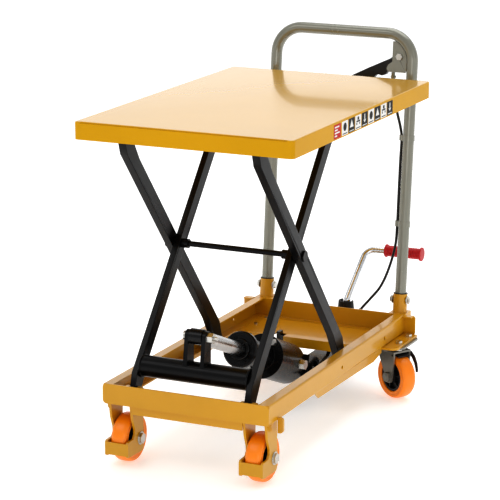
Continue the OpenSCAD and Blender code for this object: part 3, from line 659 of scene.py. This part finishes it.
def weld(name, line, radius, mat, body):
    """Rippled bead along a line, tapered at both ends."""
    step = 0.0011
    line = spaced(line, step)
    n = len(line)
    rs = []
    pts = []
    phase = random.uniform(0, math.tau)
    for i, p in enumerate(line):
        ripple = 0.13 * math.sin(i * step * 2300 + phase)
        r = radius * (1 + ripple + random.uniform(-0.05, 0.05))
        edge = min(i, n - 1 - i) / 4
        rs.append(r * math.sqrt(min(1.0, 0.25 + edge)))
        pts.append(p + V(random.uniform(-1, 1), random.uniform(-1, 1),
                         random.uniform(-1, 1)) * radius * 0.05)
    bm = bmesh.new()
    sweep(bm, pts, rs, 10)
    place_mesh(name, bm, mat, body)


def arc_x(x, y, z, r, a0, a1, steps=30):
    """Arc about an X axis, angles from +Y towards +Z."""
    out = []
    for k in range(steps + 1):
        a = math.radians(a0 + (a1 - a0) * k / steps)
        out.append(P(x, y + r * math.cos(a), z + r * math.sin(a)))
    return out


def on_handle(x, y, h):
    """Point beside the leaning handle, h along its tubes from their feet."""
    a = math.radians(HANDLE_LEAN)
    return P(x, HANDLE_Y + y * math.cos(a) + h * math.sin(a),
             HANDLE_Z - y * math.sin(a) + h * math.cos(a))


def make_welds():
    slope = math.radians(CYL_SLOPE)
    ear_y = PUMP_Y - CYL_LEN * math.cos(slope)
    ear_z = PUMP_Z + CYL_LEN * math.sin(slope)
    # cross tube of the arms: its axis and a radius just outside it
    tube_y, tube_z, tube_r = -290.0, 192.0, 21.2
    toward = math.degrees(math.atan2(ear_z - tube_z, ear_y - tube_y))
    for side, q in (("l", -1), ("r", 1)):
        for k, x in enumerate((13.2, 22.8)):
            line = arc_x(q * x, tube_y, tube_z, tube_r, toward - 42, toward + 42)
            weld(f"ear_weld_{side}{k}", line, 0.0017, "arm_paint", "inner_arms")
        # front forks under the base
        for k, x in enumerate((116.4, 167.6)):
            weld(f"fork_weld_{side}{k}", [P(q * x, -334, 123.6), P(q * x, -289, 123.6)],
                 0.0016, "frame_paint", "base")
        # sockets against the wall's outriggers
        for k, x in enumerate((142, 170)):
            weld(f"socket_weld_{side}{k}", [P(q * x, 357.4, 131), P(q * x, 357.4, 158)],
                 0.0017, "frame_paint", "base")
    # corner plate against the inside of the handle's bend
    bend_x, bend_h, bend_r, y = 98, 535.7, 46.3, -5.5
    curve = [on_handle(bend_x + bend_r * math.cos(math.radians(a)), y,
                       bend_h + bend_r * math.sin(math.radians(a))) for a in range(0, 66, 5)]
    weld("gusset_weld", [on_handle(bend_x + bend_r, y, 516)] + curve, 0.0021, "handle_paint",
         "base")


# ---------- washers and rims ----------

def washer(name, centre, axis, r0, r1, t, mat, body):
    """Flat ring of thickness t that starts at centre and goes along the axis."""
    bm = bmesh.new()
    lathe(bm, rounded([(r0, 0), (r1, 0), (r1, t), (r0, t)], 0.35), centre, axis, 48)
    place_mesh(name, bm, mat, body)


def make_washers():
    up = (on_handle(0, 0, 10) - on_handle(0, 0, 0)).normalized()
    for side, q in (("l", -1), ("r", 1)):
        washer(f"socket_washer_out_{side}", on_handle(q * 171, 0, 30), V(q, 0, 0), 4.2, 9.5, 1.6,
               "zinc", "base")
        washer(f"socket_washer_in_{side}", on_handle(q * 141, 0, 30), V(-q, 0, 0), 4.2, 9.5, 1.6,
               "zinc", "base")
        washer(f"socket_rim_{side}", on_handle(q * 156, 0, 43.2), up, 12.1, 15.2, 1.7,
               "lever_black", "base")
        for k, (x, d) in enumerate(((167, 1), (117, -1))):
            washer(f"axle_washer_{side}{k}", P(q * x, FRONT_Y, AXLE_Z), V(q * d, 0, 0), 6.1, 13,
                   1.6, "zinc", "base")


# ---------- cylinder trim ----------

def on_cyl(x, y, z):
    """Point of the cylinder's own frame, z along it from the pump to the ears."""
    a = math.radians(90 - CYL_SLOPE)
    return P(x, PUMP_Y + y * math.cos(a) - z * math.sin(a),
             PUMP_Z + y * math.sin(a) + z * math.cos(a))


def ring_line(r, z, steps=60):
    """Closed circle about the cylinder's axis."""
    return [on_cyl(r * math.cos(math.tau * k / steps), r * math.sin(math.tau * k / steps), z)
            for k in range(steps + 1)]


def make_cylinder_trim():
    axis = (on_cyl(0, 0, 10) - on_cyl(0, 0, 0)).normalized()
    face = 287.8  # outer face of the gland disc
    bm = bmesh.new()
    # wiper ring round the rod, and a thin raised ring outside it
    lathe(bm, rounded([(14.4, 0), (22, 0), (22, 3), (20.5, 5.5), (16.6, 5.5), (16.6, 3.6),
                       (14.4, 3.6)], 0.5), on_cyl(0, 0, face + 0.1), axis, 72)
    lathe(bm, rounded([(26.5, 0), (30.5, 0), (30.5, 0.9), (26.5, 0.9)], 0.3),
          on_cyl(0, 0, face - 0.1), axis, 72)
    place_mesh("gland_ring", bm, "pump_black", "pump")
    screw_circle = 25.08
    for k in range(4):
        a = math.radians(35 + 90 * k)
        at = on_cyl(screw_circle * math.cos(a), screw_circle * math.sin(a), face)
        bm = bmesh.new()
        lathe(bm, rounded([(0.05, 0), (3.4, 0), (3.4, 2.4), (1.9, 2.4), (1.9, 1.0), (0.05, 1.0)],
                          0.3), at, axis, 24)
        place_mesh(f"gland_screw_{k}", bm, "pump_black", "pump")
    weld("tank_weld", ring_line(27.4, 173.3), 0.0013, "pump_black", "pump")
    weld("barrel_weld", ring_line(27.4, 275.4), 0.0012, "pump_black", "pump")
    # black sleeve over the rod's eye
    bm = bmesh.new()
    lathe(bm, rounded([(7.2, -13.7), (15.3, -13.7), (15.3, 13.7), (7.2, 13.7)], 0.5),
          on_cyl(0, 0, CYL_LEN), X_AXIS, 64)
    place_mesh("eye_sleeve", bm, "pump_black", "ram")


# ---------- generic label strip on the deck's side ----------

def plate_on_side(name, outline, x0, x1, mat):
    """Thin plate with a (y, z) outline in layout millimetres."""
    bm = bmesh.new()
    a = [bm.verts.new(P(x0, y, z)) for y, z in outline]
    b = [bm.verts.new(P(x1, y, z)) for y, z in outline]
    n = len(outline)
    bm.faces.new(a)
    bm.faces.new(b)
    for i in range(n):
        bm.faces.new((a[i], a[(i + 1) % n], b[(i + 1) % n], b[i]))
    place_mesh(name, bm, mat, "table")


def tile(y0, y1, z0, z1, r=1.5):
    """Rectangle with round corners."""
    return rounded([(y0, z0), (y1, z0), (y1, z1), (y0, z1)], r, 4)


def label_marks(k, ym, zm):
    """Outlines of the simple mark on the k-th label, about its middle."""
    if k % 4 == 0:
        turns = [math.tau * i / 28 for i in range(28)]
        return [[(ym + 8 * math.cos(a), zm + 8 * math.sin(a)) for a in turns]]
    if k % 4 == 1:
        return [[(ym - 9, zm - 6), (ym + 9, zm - 6), (ym, zm + 9)]]
    if k % 4 == 2:
        return [tile(ym - 9, ym + 9, zm - 1.5, zm + 1.5, 0.5),
                tile(ym - 9, ym - 5.5, zm - 7, zm - 2.4, 0.5),
                tile(ym + 5.5, ym + 9, zm - 7, zm - 2.4, 0.5),
                tile(ym - 4, ym + 4, zm + 2.4, zm + 8.5, 0.5)]
    return [tile(ym - 2, ym + 2, zm - 3, zm + 8.5, 0.5),
            [(ym, zm - 8.5), (ym + 6.5, zm - 2.2), (ym - 6.5, zm - 2.2)]]


def make_label_strip():
    _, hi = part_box("platform")
    x = hi[0] * 1000 + X_MID
    z1 = hi[2] * 1000 - 4.5
    z0 = z1 - 27
    film = (x - 0.1, x + 0.18)
    ink = (x + 0.1, x + 0.28)
    plate_on_side("label_red", tile(-163, -129, z0, z1), *film, "vinyl_red")
    for i, w in enumerate((22, 15, 24, 12)):
        z = z1 - 5 - i * 5.6
        plate_on_side(f"label_red_bar_{i}", tile(-159, -159 + w, z - 1.6, z + 1.4, 0.6), *ink,
                      "vinyl_white")
    for k in range(8):
        y0 = -124 + 33 * k
        y1 = y0 + 30
        back, front = "vinyl_white", "vinyl_black"
        if k % 2:
            back, front = front, back
        plate_on_side(f"label_{k}", tile(y0, y1, z0, z1), *film, back)
        ym = (y0 + y1) / 2
        marks = label_marks(k, ym, (z0 + z1) / 2 + 2)
        marks.append(tile(ym - 11, ym + 11, z0 + 2, z0 + 3.6, 0.4))
        for j, outline in enumerate(marks):
            plate_on_side(f"label_{k}_mark_{j}", outline, *ink, front)


make_camera()
make_studio()
make_floor()
make_materials()
dress_nodes()
make_wheels()
make_cable()
make_pedal()
make_welds()
make_washers()
make_cylinder_trim()
make_label_strip()
